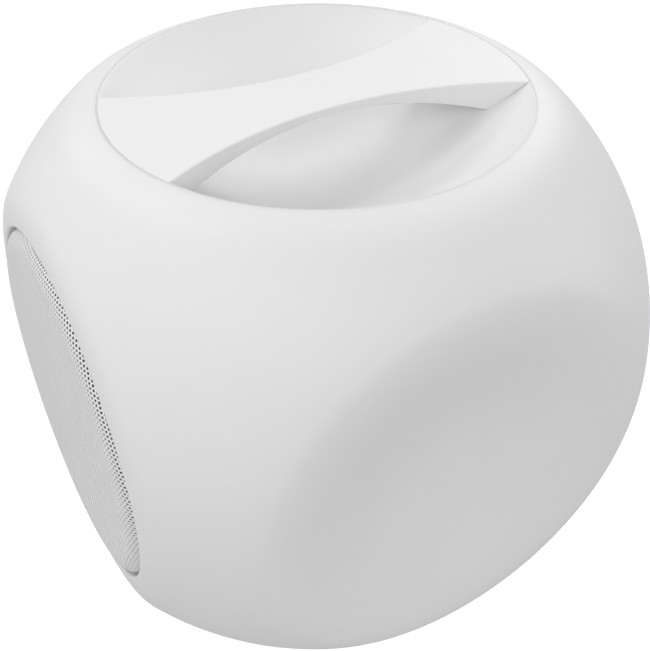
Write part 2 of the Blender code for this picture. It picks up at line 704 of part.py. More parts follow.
def make_buttons():
    """Five press caps, each with a collar behind the panel and a stem to its switch."""
    for name, spot in BUTTONS.items():
        top = PANEL_FACE + BUTTON_PROUD
        collar = PANEL_BACK - GAP
        base = BOARD_LEVEL + 5.0
        profile = [
            (0, 0), (BUTTON_R - 0.6, 0), (BUTTON_R, -0.6), (BUTTON_R, collar - top),
            (BUTTON_R + 1.2, collar - top), (BUTTON_R + 1.2, collar - top - 0.9),
            (1.5, collar - top - 0.9), (1.5, base - top), (0, base - top),
        ]
        turned(name, profile, BACK, WHITE_RUBBER, (*spot, top), steps=12)
    rod("status_light_pipe", 1.1, BOARD_LEVEL + 2, PANEL_FACE + 0.1, BACK, CLEAR_PLASTIC, at=(0, 28))


def make_flap():
    """The rubber cover of the sockets, hinged along its lower edge."""
    width, height = FLAP_SIZE
    level = PANEL_FACE - FLAP_POCKET + GAP + HINGE_R
    axis_y = PORT_Y - height / 2 + HINGE_R
    upper = height - HINGE_R
    section = arc((0, 0), HINGE_R, 90, 270, 6) + [(upper, -HINGE_R), (upper, HINGE_R)]
    flap = plate("port_flap", section, -width / 2, width / 2, BACK, WHITE_RUBBER, (0, axis_y, level))
    flap.rotation_euler = (math.pi / 2, 0, math.pi / 2)
    tab = block("flap_tab", (9, 1.6, 1.6), (0, axis_y + upper - 1.2, level + HINGE_R), BACK)
    boolean(flap, [tab], "UNION")


def make_sockets():
    """Charging socket and audio socket on the control board."""
    low = BOARD_LEVEL + 1.9
    high = PANEL_BACK + 0.6
    middle = (low + high) / 2
    usb = block("usb_port", (9.0, 3.2, high - low), (USB_X, PORT_Y, middle), BACK, STEEL)
    mouth = block("usb_mouth", (8.3, 2.5, 6.0), (USB_X, PORT_Y, high - 2.0), BACK)
    tongue = block("usb_tongue", (6.6, 0.7, 7.0), (USB_X, PORT_Y, high - 3.4), BACK)
    boolean(mouth, [tongue])
    boolean(usb, [mouth])
    jack = rod("aux_jack", 3.0, low, high, BACK, BLACK_PLASTIC, at=(AUX_X, PORT_Y), steps=16)
    bore = rod("aux_bore", 1.8, low + 1.0, high + 2, BACK, at=(AUX_X, PORT_Y))
    boolean(jack, [bore])


def make_boards():
    """Control board with its switches, and the main board on its posts."""
    control = rod("control_board", 30.6, BOARD_LEVEL, BOARD_LEVEL + 1.6, BACK, BOARD_GREEN, steps=24)
    switches = []
    for name, (x, y) in BUTTONS.items():
        body_centre = (x, y, BOARD_LEVEL + 2.2)
        switches.append(block(f"{name}_switch", (6, 6, 2.4), body_centre, BACK))
        switches.append(rod(f"{name}_plunger", 1.6, 72, BOARD_LEVEL + 3.7, BACK, at=(x, y), steps=8))
    boolean(control, switches, "UNION")
    level = 52.0
    main = block("main_board", (40, 38, 1.6), (0, 0, level + 0.8), BACK, BOARD_GREEN)
    devices = [
        block("radio_module", (14, 18, 3.6), (-12, 6, level + 2.6), BACK),
        block("amplifier_chip", (9, 9, 2.4), (8, 8, level + 2.0), BACK),
        block("coil_block", (8, 8, 5.6), (10, -9, level + 3.6), BACK),
        rod("capacitor_block", 4.0, level + 1, level + 11, BACK, at=(-10, -11), steps=12),
    ]
    boolean(main, devices, "UNION")


def make_housing():
    """The sealed cup behind the panel, with a ledge and four posts for the boards."""
    inner = HOUSING_R - HOUSING_WALL
    ledge = inner - 1.5
    floor = HOUSING_END + HOUSING_WALL
    top = PANEL_BACK - GAP
    housing = turned("electronics_housing", [
        (0, floor), (ledge, floor), (ledge, BOARD_LEVEL - GAP), (inner, BOARD_LEVEL - GAP),
        (inner, top), (HOUSING_R, top), (HOUSING_R, HOUSING_END), (0, HOUSING_END),
    ], BACK, BLACK_PLASTIC)
    corners = [(x, y) for x in (-18, 18) for y in (-16, 16)]
    posts = [
        rod(f"post_{number}", 2.5, floor - 1, 52.0 - GAP, BACK, at=corner, steps=10)
        for number, corner in enumerate(corners, 1)
    ]
    boolean(housing, posts, "UNION")


def make_lamp():
    """The lamp board on the housing's inner end, under a frosted dome."""
    level = HOUSING_END - GAP
    board = rod("led_board", 27.0, level - 1.6, level, BACK, BOARD_WHITE, steps=24)
    lights = [
        block(f"led_{number}", (3.6, 3.6, 2.0), (*spot, level - 2.0), BACK)
        for number, spot in enumerate(around(17, 6), 1)
    ]
    boolean(board, lights, "UNION")
    outside = arc((0, level), (29.5, 15.5), 270, 360, 5)
    inside = arc((0, level), (28.0, 14.0), 360, 270, 5)
    turned("led_diffuser", outside + inside, BACK, CLEAR_PLASTIC, steps=24)


def make_leads():
    """The leads from the battery and from the speaker chamber to the electronics housing."""
    entry_y = 45.0
    battery_top = 2 * CELL_OFFSET + 1.8 + 0.4
    entry_top = math.sqrt(HOUSING_R**2 - 20.0**2) + 1.6
    wire("battery_lead", [
        (20, -24, battery_top), (20, -24, 46), (20, entry_y, 62), (20, entry_y, entry_top),
    ], 1.2, CENTRE, LEAD_RED)
    wire("speaker_lead", [
        (-43, GAP - CHAMBER_BACK, 0), (-46, 16, 0),
        (-60, entry_y, 0), (-HOUSING_R - 0.4, entry_y, 0),
    ], 1.2, CENTRE, BLACK_PLASTIC)


make_body()
make_feet()
make_cup()
make_handle()
make_grille()
make_baffle()
make_chamber()
make_driver()
make_battery()
make_panel()
make_buttons()
make_flap()
make_sockets()
make_boards()
make_housing()
make_lamp()
make_leads()
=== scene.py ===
"""Looks of the rounded-cube shower speaker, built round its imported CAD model.

Shapes are worked out in millimetres in three local frames, all centred on the body:
TOP (local z up), FRONT (local z out of the loudspeaker, y up) and BACK (local z out of
the back, y up). They become metres in the row frame when a mesh is made.
"""

import json
import math

import bmesh
import bpy
import numpy as np
from mathutils import Euler, Matrix, Vector

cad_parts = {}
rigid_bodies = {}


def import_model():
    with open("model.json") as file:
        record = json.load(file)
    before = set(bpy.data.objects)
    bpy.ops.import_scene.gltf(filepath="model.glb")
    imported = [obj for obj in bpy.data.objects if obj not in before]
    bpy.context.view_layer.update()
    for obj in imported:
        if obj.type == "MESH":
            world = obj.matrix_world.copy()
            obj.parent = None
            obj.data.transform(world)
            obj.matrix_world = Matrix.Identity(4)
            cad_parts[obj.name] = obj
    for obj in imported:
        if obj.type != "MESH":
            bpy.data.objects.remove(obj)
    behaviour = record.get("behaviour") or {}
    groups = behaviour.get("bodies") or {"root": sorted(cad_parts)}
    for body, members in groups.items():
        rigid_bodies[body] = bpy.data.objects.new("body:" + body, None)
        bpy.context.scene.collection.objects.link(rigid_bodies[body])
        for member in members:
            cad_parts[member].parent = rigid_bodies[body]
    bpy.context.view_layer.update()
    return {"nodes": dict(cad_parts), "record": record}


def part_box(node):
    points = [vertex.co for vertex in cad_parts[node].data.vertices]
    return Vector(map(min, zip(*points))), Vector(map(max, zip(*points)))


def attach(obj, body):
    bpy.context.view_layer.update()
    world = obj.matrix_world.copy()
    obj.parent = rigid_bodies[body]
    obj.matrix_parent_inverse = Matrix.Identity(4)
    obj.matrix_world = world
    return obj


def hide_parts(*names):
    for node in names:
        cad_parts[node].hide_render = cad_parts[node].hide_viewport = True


for stale in list(bpy.data.objects):
    bpy.data.objects.remove(stale, do_unlink=True)

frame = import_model()

MM = 0.001

# The body's centre, found from the grille's middle and the feet's base.
GRILLE_APEX = 96.35
FEET_BASE = 93.1
grille_low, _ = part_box("grille")
foot_low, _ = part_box("foot_1")
CENTRE = Vector((0, grille_low.y + GRILLE_APEX * MM, foot_low.z + FEET_BASE * MM))

TOP = Matrix.Translation(CENTRE) @ Matrix.Scale(MM, 4)
FRONT = TOP @ Euler((math.pi / 2, 0, 0)).to_matrix().to_4x4()
BACK = TOP @ Euler((math.pi / 2, 0, math.pi)).to_matrix().to_4x4()

# Body
HALF = 90.0
SPHERE = 1.2775 * HALF
ROUNDNESS = 2.03
TOP_FLAT = 1.021 * HALF
FRONT_FLAT = 1.045 * HALF
TOP_BLEND = 0.12 * HALF
FRONT_BLEND = 0.06 * HALF
FLAT_SLOPE = 0.3
DISH_FLOOR = 0.835 * HALF
DISH_RADIUS = 1.4421 * HALF
DISH_BLEND = 0.22 * HALF
SIDE_FLOOR = 0.924 * HALF
SIDE_CURVE = 0.565
SIDE_EASING = 0.157
SIDE_BLEND = 0.484 * HALF
SIDE_ROUNDS = 12
SIDE_SLOPE = 0.35
WALL = 3.2
DIVISIONS = 60
RIM_RING = 0.72
RING_CROWDING = 0.55
TILT_RANGE = (12, 44)
TILT_ROUNDS = 40
BEYOND = 110

# Bowl and handle
RIM_Z = 90.0
RIM_R = 66.78
TOP_OPENING_R = 67.33
SEAM_EDGE = 0.12
BOWL_R = 85.02
BOWL_CENTRE_Z = 142.62
CUP_WALL = 2.5
LIP_R = 67.28
HANDLE_WAIST = 12.33
HANDLE_FLARE_R = 125.1
HANDLE_MIDDLE = 3.6
HANDLE_ARCH = 0.27 / HALF
HANDLE_TIP_R = 67.2
HANDLE_TOP = 90.2
HANDLE_BITE = 1.2
HANDLE_DRAFT = 0.42
HANDLE_EDGE = 0.7
HANDLE_ROUNDS = 12
HANDLE_SCREWS = [(x * 13.0, y * 57.0) for x in (-1, 1) for y in (-1, 1)]
BOSS_R = 4.2
BOSS_BASE = 70

# Loudspeaker side, heights along FRONT
FRONT_SEAT = 86.8
FRONT_RECESS_R = 60.3
FRONT_OPENING_R = 50.3
GRILLE_R = 59.7
GRILLE_FACE = 95.85
SHOULDER = (7.0, 5.0)
SKIRT_BASE = 88.4
SHEET = 0.38
HOLE_PITCH = 1.42
HOLE_R = 0.52
HOLED_R = 60.9
HOLED_TALL = 59.8
CLOTH_THICK = 0.25
CLOTH_GAP = 0.03
PAN_STEPS = 60
CLOTH_STEPS = 30
PAN_SIDES = 240

# Back, heights along BACK
BACK_SEAT = 77.0
BACK_RECESS_R = 40.3
BACK_OPENING_R = 33.5
PANEL_R = 39.9
PANEL_BACK = 78.4
PANEL_FACE = 81.4
PANEL_SCREW_R = 36.8
SCREW_SINK = 1.6
SCREW_TURN = 37
CUT_HIGH = 90
CUT_LOW = 70
PIPE_SPOT = (0, 28)
BOARD_LEVEL = 70.0
BUTTON_R = 4.4
BUTTON_TOP = 82.4
BUTTON_GAP = 0.4
BUTTON_FLARE = 1.2
BUTTON_COLLAR = 1.2
ICON_SUNK = 0.05
ICON_PROUD = 0.1
BUTTONS = {
    "power_button": (-9.0, 21.0),
    "light_button": (9.0, 21.0),
    "volume_down_button": (-17.0, 5.0),
    "play_button": (0.0, 5.0),
    "volume_up_button": (17.0, 5.0),
}
PORT_Y = -16.8
USB_X = -7.5
AUX_X = 7.5
FLAP_WIDE = 30.0
FLAP_TALL = 13.0
FLAP_TOP = 81.5
FLAP_BASE = 79.7
ROLL_R = 0.9

# Feet
FOOT_R = 5.5
FOOT_RING_R = 68.5
FOOT_TOP = -88.5
FOOT_BASE = -93.1
FOOT_GAP = 0.3
FOOT_POCKET = -88.2


# ---------------------------------------------------------------- mesh helpers

def placed(name, data):
    """A new object in the scene."""
    thing = bpy.data.objects.new(name, data)
    bpy.context.scene.collection.objects.link(thing)
    return thing


def make(name, points, faces, place, materials, smooth=35):
    """A mesh object from local points in millimetres. Its origin is the row frame's."""
    points = np.asarray(points, float)
    rows = np.array(place)
    world = points @ rows[:3, :3].T + rows[:3, 3]
    mesh = bpy.data.meshes.new(name)
    mesh.from_pydata(world.tolist(), [], faces)
    piece = placed(name, mesh)
    for material in materials:
        mesh.materials.append(material)
    tidy(mesh)
    shade(mesh, smooth)
    return piece


def tidy(mesh):
    """Merge shared corners and turn every face outwards."""
    shape = bmesh.new()
    shape.from_mesh(mesh)
    bmesh.ops.remove_doubles(shape, verts=shape.verts[:], dist=0.000002)
    bmesh.ops.recalc_face_normals(shape, faces=shape.faces[:])
    shape.to_mesh(mesh)
    shape.free()


def shade(mesh, angle):
    """Shade smooth, with true edges sharp."""
    mesh.shade_smooth()
    mesh.set_sharp_from_angle(angle=math.radians(angle))


def freeze(piece, smooth=None):
    """Apply a piece's modifiers to its mesh."""
    graph = bpy.context.evaluated_depsgraph_get()
    mesh = bpy.data.meshes.new_from_object(piece.evaluated_get(graph))
    piece.modifiers.clear()
    piece.data = mesh
    if smooth is not None:
        shade(mesh, smooth)
    return piece


def soften(piece, width, limit):
    """Round the edges that turn by more than a limit in degrees."""
    rounding = piece.modifiers.new("edges", "BEVEL")
    rounding.width = width * MM
    rounding.segments = 3
    rounding.limit_method = "ANGLE"
    rounding.angle_limit = math.radians(limit)
    rounding.harden_normals = True
    freeze(piece)


def combine(piece, cutters, operation="DIFFERENCE", smooth=35):
    """Cut a piece with closed cutters, or join them to it, and remove them."""
    for cutter in cutters:
        step = piece.modifiers.new(cutter.name, "BOOLEAN")
        step.operation = operation
        step.solver = "EXACT"
        step.object = cutter
    freeze(piece, smooth)
    for cutter in cutters:
        bpy.data.objects.remove(cutter, do_unlink=True)
    return piece


def arc(centre, radius, start, stop, count):
    """Points on a circle or, with two radii, an ellipse. Angles in degrees."""
    wide, tall = radius if isinstance(radius, tuple) else (radius, radius)
    turns = [math.radians(start + (stop - start) * step / count) for step in range(count + 1)]
    return [(centre[0] + wide * math.cos(turn), centre[1] + tall * math.sin(turn)) for turn in turns]


def around(radius, count, first=0.0):
    """Evenly spaced places on a circle."""
    return arc((0, 0), radius, first, first + 360, count)[:-1]


def rounded(corners, steps=5):
    """A closed outline through corners (x, y, radius), each rounded by its radius."""
    outline = []
    for index, (x, y, radius) in enumerate(corners):
        here = Vector((x, y))
        before = Vector(corners[index - 1][:2]) - here
        after = Vector(corners[(index + 1) % len(corners)][:2]) - here
        if radius == 0:
            outline.append((x, y))
            continue
        half = before.angle(after) / 2
        middle = here + (before.normalized() + after.normalized()).normalized() * radius / math.sin(half)
        start = here + before.normalized() * radius / math.tan(half) - middle
        end = here + after.normalized() * radius / math.tan(half) - middle
        first = math.atan2(start.y, start.x)
        turn = (math.atan2(end.y, end.x) - first + math.pi) % (2 * math.pi) - math.pi
        for step in range(steps + 1):
            angle = first + turn * step / steps
            outline.append((middle.x + radius * math.cos(angle), middle.y + radius * math.sin(angle)))
    return outline


def turned(name, profile, place, materials, spot=(0, 0), steps=96, smooth=35):
    """A turned solid. The profile is a closed outline of (radius, height) points."""
    points = []
    faces = []
    rings = []
    for radius, height in profile:
        first = len(points)
        if radius < 0.0001:
            points.append((spot[0], spot[1], height))
            rings.append([first] * steps)
            continue
        points += [(spot[0] + x, spot[1] + y, height) for x, y in around(radius, steps)]
        rings.append(list(range(first, first + steps)))
    for ring, following in zip(rings, rings[1:] + rings[:1]):
        if ring[0] == ring[1] and following[0] == following[1]:
            continue
        for step in range(steps):
            other = (step + 1) % steps
            corners = [ring[step], ring[other], following[other], following[step]]
            faces.append(list(dict.fromkeys(corners)))
    return make(name, points, faces, place, materials, smooth)


def prism(name, outline, low, high, place, materials, edge=0.0, smooth=35):
    """A flat outline given thickness, with its edges rounded where a radius is given."""
    count = len(outline)
    points = [(x, y, low) for x, y in outline] + [(x, y, high) for x, y in outline]
    faces = [list(range(count)), list(range(count, 2 * count))]
    for step in range(count):
        other = (step + 1) % count
        faces.append([step, other, count + other, count + step])
    piece = make(name, points, faces, place, materials, smooth)
    if edge:
        soften(piece, edge, 50)
    return piece


def box_outline(wide, tall, centre=(0, 0), radius=0.0):
    """A rectangle, with rounded corners where a radius is given."""
    x, y = wide / 2, tall / 2
    corners = [(-x, -y), (x, -y), (x, y), (-x, y)]
    return rounded([(centre[0] + a, centre[1] + b, radius) for a, b in corners])


def join(name, parts):
    """Several meshes as one piece, keeping their material slots in order."""
    shape = bmesh.new()
    materials = []
    for part in parts:
        numbers = []
        for material in part.data.materials:
            if material not in materials:
                materials.append(material)
            numbers.append(materials.index(material))
        first = len(shape.faces)
        shape.from_mesh(part.data)
        shape.faces.ensure_lookup_table()
        for face in shape.faces[first:]:
            face.material_index = numbers[face.material_index]
    mesh = bpy.data.meshes.new(name)
    shape.to_mesh(mesh)
    shape.free()
    for material in materials:
        mesh.materials.append(material)
    for part in parts:
        bpy.data.objects.remove(part, do_unlink=True)
    piece = placed(name, mesh)
    return piece


def stand_in(piece, body, slot, *nodes):
    """Put a piece on its body in place of CAD nodes."""
    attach(piece, body)
    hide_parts(*nodes)
    return piece


# ---------------------------------------------------------------- materials

def nodes_of(name):
    """A new material with its node tree and its Principled node."""
    material = bpy.data.materials.new(name)
    material.use_nodes = True
    tree = material.node_tree
    return material, tree, tree.nodes["Principled BSDF"]


def noise(tree, scale, detail=3.0, stretch=(1, 1, 1), roughness=0.5):
    """A noise texture in object space; the scale is in features per metre."""
    place = tree.nodes.new("ShaderNodeTexCoord")
    mapping = tree.nodes.new("ShaderNodeMapping")
    mapping.inputs["Scale"].default_value = stretch
    texture = tree.nodes.new("ShaderNodeTexNoise")
    texture.inputs["Scale"].default_value = scale
    texture.inputs["Detail"].default_value = detail
    texture.inputs["Roughness"].default_value = roughness
    tree.links.new(place.outputs["Object"], mapping.inputs["Vector"])
    tree.links.new(mapping.outputs["Vector"], texture.inputs["Vector"])
    return texture.outputs["Fac"]


def spread(tree, value, low, high, start=0.3, stop=0.7):
    """A value remapped to a range."""
    remap = tree.nodes.new("ShaderNodeMapRange")
    remap.inputs["From Min"].default_value = start
    remap.inputs["From Max"].default_value = stop
    remap.inputs["To Min"].default_value = low
    remap.inputs["To Max"].default_value = high
    tree.links.new(value, remap.inputs["Value"])
    return remap.outputs["Result"]


def tint(tree, value, first, second):
    """A colour between two, by a value from 0 to 1."""
    mix = tree.nodes.new("ShaderNodeMix")
    mix.data_type = "RGBA"
    colours = [socket for socket in mix.inputs if socket.type == "RGBA"]
    colours[0].default_value = (*first, 1.0)
    colours[1].default_value = (*second, 1.0)
    tree.links.new(value, mix.inputs[0])
    return next(socket for socket in mix.outputs if socket.type == "RGBA")


def relief(tree, shader, layers):
    """Bump from (height value, distance in millimetres, strength) layers."""
    normal = None
    for value, distance, strength in layers:
        bump = tree.nodes.new("ShaderNodeBump")
        bump.inputs["Distance"].default_value = distance * MM
        bump.inputs["Strength"].default_value = strength
        tree.links.new(value, bump.inputs["Height"])
        if normal is not None:
            tree.links.new(normal, bump.inputs["Normal"])
        normal = bump.outputs["Normal"]
    tree.links.new(normal, shader.inputs["Normal"])


def finish(
    name, colour, roughness, metallic=0.0, vary=0.02, blotch=25.0, grain=1500.0, depth=0.02,
    stretch=(1, 1, 1), glow=0.0, wave=0.0,
):
    """A moulded, painted or rubbed surface: faint cloudy colour, uneven gloss and fine grain."""
    material, tree, shader = nodes_of(name)
    cloudy = spread(tree, noise(tree, blotch, 4.0), 0.0, 1.0)
    darker = [channel * (1 - vary) for channel in colour]
    lighter = [min(channel * (1 + vary), 1.0) for channel in colour]
    tree.links.new(tint(tree, cloudy, darker, lighter), shader.inputs["Base Color"])
    fine = noise(tree, grain, 2.0, stretch)
    tree.links.new(
        spread(tree, fine, roughness * 0.9, min(roughness * 1.12, 1.0)), shader.inputs["Roughness"]
    )
    layers = [(fine, depth, 0.5)]
    if wave:
        layers.append((noise(tree, 60.0, 1.0), wave, 0.5))
    relief(tree, shader, layers)
    shader.inputs["Metallic"].default_value = metallic
    if glow:
        shader.inputs["Subsurface Weight"].default_value = glow
        shader.inputs["Subsurface Radius"].default_value = (1.0, 0.95, 0.9)
        shader.inputs["Subsurface Scale"].default_value = 0.003
    return material


def woven(name, colour, pitch, depth):
    """A plain weave: two crossed sets of threads."""
    material, tree, shader = nodes_of(name)
    place = tree.nodes.new("ShaderNodeTexCoord")
    heights = []
    for direction in ("X", "Z"):
        wave = tree.nodes.new("ShaderNodeTexWave")
        wave.wave_type = "BANDS"
        wave.bands_direction = direction
        wave.inputs["Scale"].default_value = 1 / (pitch * MM * math.tau)
        wave.inputs["Distortion"].default_value = 0.4
        wave.inputs["Detail"].default_value = 1.0
        tree.links.new(place.outputs["Object"], wave.inputs["Vector"])
        heights.append(wave.outputs["Fac"])
    over = tree.nodes.new("ShaderNodeMath")
    over.operation = "MAXIMUM"
    tree.links.new(heights[0], over.inputs[0])
    tree.links.new(heights[1], over.inputs[1])
    darker = [channel * 0.5 for channel in colour]
    tree.links.new(tint(tree, over.outputs[0], darker, colour), shader.inputs["Base Color"])
    relief(tree, shader, [(over.outputs[0], depth, 0.8)])
    shader.inputs["Roughness"].default_value = 0.9
    return material


def circuit(name, board, track):
    """A circuit board: tracks under a coloured mask."""
    material, tree, shader = nodes_of(name)
    place = tree.nodes.new("ShaderNodeTexCoord")
    mapping = tree.nodes.new("ShaderNodeMapping")
    mapping.inputs["Rotation"].default_value = (math.pi / 2, 0, 0)
    bricks = tree.nodes.new("ShaderNodeTexBrick")
    bricks.inputs["Scale"].default_value = 220.0
    bricks.inputs["Mortar Size"].default_value = 0.03
    bricks.inputs["Color1"].default_value = (*board, 1.0)
    bricks.inputs["Color2"].default_value = (*[channel * 0.85 for channel in board], 1.0)
    bricks.inputs["Mortar"].default_value = (*track, 1.0)
    tree.links.new(place.outputs["Object"], mapping.inputs["Vector"])
    tree.links.new(mapping.outputs["Vector"], bricks.inputs["Vector"])
    tree.links.new(bricks.outputs["Color"], shader.inputs["Base Color"])
    relief(tree, shader, [(bricks.outputs["Fac"], 0.03, 0.5)])
    tree.links.new(spread(tree, noise(tree, 400.0), 0.3, 0.45), shader.inputs["Roughness"])
    return material


BODY = finish(
    "body_plastic", (0.80, 0.80, 0.80), 0.5, vary=0.008, grain=2600.0, depth=0.012, glow=0.3, wave=0.02,
)
# The bowl's plastic is the body's plastic made a little lighter: painted light, which brightens the shaded
# hollow of the bowl.
BOWL = finish(
    "bowl_plastic_painted_light", (0.84, 0.84, 0.84), 0.5, vary=0.008, grain=2600.0, depth=0.012, glow=0.3, wave=0.02,
)
HANDLE = finish("handle_plastic", (0.825, 0.825, 0.825), 0.5, vary=0.006, grain=2600.0, depth=0.01)
STEEL_WHITE = finish("grille_paint", (0.83, 0.83, 0.83), 0.45, vary=0.01, grain=4000.0, depth=0.008)
PANEL = finish("panel_plastic", (0.52, 0.525, 0.53), 0.55, grain=3500.0, depth=0.03)
SOFT_WHITE = finish("button_rubber", (0.70, 0.70, 0.69), 0.7, grain=3000.0, depth=0.02)
ICON = finish("icon_ink", (0.12, 0.125, 0.13), 0.6, grain=3000.0, depth=0.01)
BLACK = finish("black_moulding", (0.025, 0.025, 0.026), 0.5, vary=0.15, grain=2500.0, depth=0.02)
RUBBER = finish("foot_rubber", (0.045, 0.045, 0.047), 0.8, vary=0.15, grain=1800.0, depth=0.04)
PAPER = finish("cone_pulp", (0.045, 0.045, 0.05), 0.85, vary=0.25, grain=900.0, depth=0.08)
METAL = finish(
    "bare_steel", (0.58, 0.58, 0.59), 0.32, 1.0, vary=0.05, grain=1200.0, depth=0.01, stretch=(1, 1, 12),
)
COPPER = finish(
    "wound_copper", (0.75, 0.34, 0.15), 0.35, 1.0, vary=0.08, grain=900.0, depth=0.05, stretch=(1, 14, 1),
)
FERRITE = finish("ferrite", (0.055, 0.055, 0.06), 0.6, vary=0.2, grain=1000.0, depth=0.06)
WRAP = finish("cell_wrap", (0.04, 0.13, 0.38), 0.35, vary=0.06, grain=300.0, depth=0.02)
FROSTED = finish("frosted_plastic", (0.85, 0.85, 0.84), 0.4, vary=0.01, grain=2500.0, depth=0.02, glow=0.5)
LEAD = finish("lead_jacket", (0.42, 0.025, 0.025), 0.45, vary=0.08, grain=1500.0, depth=0.02)
CLOTH = woven("black_scrim", (0.012, 0.012, 0.013), 0.35, 0.08)
SPIDER = woven("spider_weave", (0.55, 0.40, 0.15), 0.5, 0.1)
BOARD = circuit("green_board", (0.015, 0.13, 0.055), (0.04, 0.26, 0.1))
LAMP_BOARD = circuit("white_board", (0.78, 0.78, 0.76), (0.6, 0.6, 0.55))

CARRIED = {
    "body_white": BODY, "handle_white": HANDLE, "grille_white": STEEL_WHITE, "black_plastic": BLACK,
    "black_cloth": CLOTH, "soft_rubber": RUBBER, "white_rubber": SOFT_WHITE, "cone_paper": PAPER,
    "spider_cloth": SPIDER, "copper": COPPER, "steel": METAL, "ferrite": FERRITE,
    "board_green": BOARD, "board_white": LAMP_BOARD, "cell_blue": WRAP,
    "clear_plastic": FROSTED, "panel_grey": PANEL, "lead_red": LEAD,
}
for node in frame["nodes"].values():
    for holder in node.material_slots:
        holder.material = CARRIED[holder.material.name.split(".")[0]]


# ---------------------------------------------------------------- body

def blend(first, second, width):
    """Smooth minimum of two arrays."""
    share = np.clip(0.5 + 0.5 * (second - first) / width, 0, 1)
    return second * (1 - share) + first * share - width * share * (1 - share)


def side_dish(slope):
    """Distance along each direction to the shallow dish of a side."""
    across = np.sqrt(np.maximum(1 - slope**2, 0)) / slope
    height = np.full_like(slope, SIDE_FLOOR)
    for _ in range(SIDE_ROUNDS):
        out = np.minimum(height * across / HALF, 1)
        height = (height + SIDE_FLOOR + (SIDE_CURVE * out**2 - SIDE_EASING * out**4) * HALF) / 2
    return height / slope


def body_radius(ways):
    """Distance from the body's centre to its surface along each direction."""
    radius = SPHERE / (np.abs(ways) ** ROUNDNESS).sum(-1) ** (1 / ROUNDNESS)
    flats = ((ways[..., 2], TOP_FLAT, TOP_BLEND), (-ways[..., 1], FRONT_FLAT, FRONT_BLEND))
    for slope, distance, width in flats:
        flat = distance / np.maximum(slope, FLAT_SLOPE)
        radius = np.where(slope > FLAT_SLOPE, blend(radius, flat, width), radius)
    far = DISH_FLOOR + DISH_RADIUS
    for slope in (ways[..., 1], -ways[..., 2]):
        reach = slope * far
        inside = reach**2 - (far**2 - DISH_RADIUS**2)
        dish = reach - np.sqrt(np.maximum(inside, 0))
        radius = np.where((slope > 0) & (inside > 0), blend(radius, dish, DISH_BLEND), radius)
    slope = np.maximum(np.abs(ways[..., 0]), SIDE_SLOPE)
    radius = np.where(slope > SIDE_SLOPE, blend(radius, side_dish(slope), SIDE_BLEND), radius)
    return radius


def skin(ways, inset):
    """Points of the body's surface, or of one set in by a wall."""
    return ways * (body_radius(ways) - inset)[..., None]


def dished_face(axis, sign, inset):
    """A closed face of the body as a square grid whose inner lines are circles."""
    steps = np.linspace(-1, 1, DIVISIONS + 1)
    u, v = np.meshgrid(steps, steps)
    ring = np.maximum(np.abs(u), np.abs(v))
    reach = np.tan(ring**RING_CROWDING * math.pi / 4) / np.maximum(np.hypot(u, v), 0.000001)
    share = np.clip((ring - RIM_RING) / (1 - RIM_RING), 0, 1)
    ways = np.zeros((*u.shape, 3))
    ways[..., axis] = sign
    ways[..., (axis + 1) % 3] = share * np.tan(u * math.pi / 4) + (1 - share) * u * reach
    ways[..., (axis + 2) % 3] = share * np.tan(v * math.pi / 4) + (1 - share) * v * reach
    ways /= np.linalg.norm(ways, axis=-1)[..., None]
    return skin(ways, inset), False


def ways_at(axis, sign, tilt, turn):
    """Directions at a tilt from a face's axis and a turn about it."""
    ways = np.zeros((len(turn), 3))
    ways[:, axis] = sign * np.cos(tilt)
    ways[:, (axis + 1) % 3] = np.sin(tilt) * np.cos(turn)
    ways[:, (axis + 2) % 3] = np.sin(tilt) * np.sin(turn)
    return ways


def tilt_at(axis, sign, turn, inset, radius):
    """The tilt at which the surface passes through a cylinder about a face's axis."""
    low, high = (np.full(len(turn), math.radians(end)) for end in TILT_RANGE)
    for _ in range(TILT_ROUNDS):
        middle = (low + high) / 2
        ways = ways_at(axis, sign, middle, turn)
        beyond = (body_radius(ways) - inset) * np.sin(middle) > radius
        high = np.where(beyond, middle, high)
        low = np.where(beyond, low, middle)
    return (low + high) / 2


def opened_face(axis, sign, opening, edge, walls, inner, rows):
    """A face with a round opening: outer surface, rounded rim, walls, inner surface.

    The walls are (radius, height) corners, and the inner surface starts at a radius of its own.
    """
    count = 4 * DIVISIONS
    turn = np.arange(count) * 2 * math.pi / count - math.pi / 4
    folded = (turn + math.pi / 4) % (math.pi / 2) - math.pi / 4
    border = np.arctan(1 / np.cos(folded))
    rings = []

    def surface(inset, radius):
        first = tilt_at(axis, sign, turn, inset, radius)
        found = []
        for share in [0, 0.03] + [(row / rows) ** 1.15 for row in range(1, rows + 1)]:
            tilt = first + (math.pi / 4 - first) * share + (border - math.pi / 4) * share**2
            found.append(skin(ways_at(axis, sign, tilt, turn), inset))
        return found

    def level(radius, height):
        ring = np.zeros((count, 3))
        ring[:, axis] = sign * height
        ring[:, (axis + 1) % 3] = radius * np.cos(turn)
        ring[:, (axis + 2) % 3] = radius * np.sin(turn)
        return ring

    outer = surface(0, opening + edge)
    rings += outer[::-1]
    brim = sign * outer[0][:, axis]
    for step in (1, 2, 3, 4):
        angle = math.radians(22.5 * step)
        rings.append(level(opening + edge * (1 - math.sin(angle)), brim - edge * (1 - math.cos(angle))))
    rings += [level(radius, height) for radius, height in walls]
    rings += surface(WALL, inner)
    return np.array(rings), True


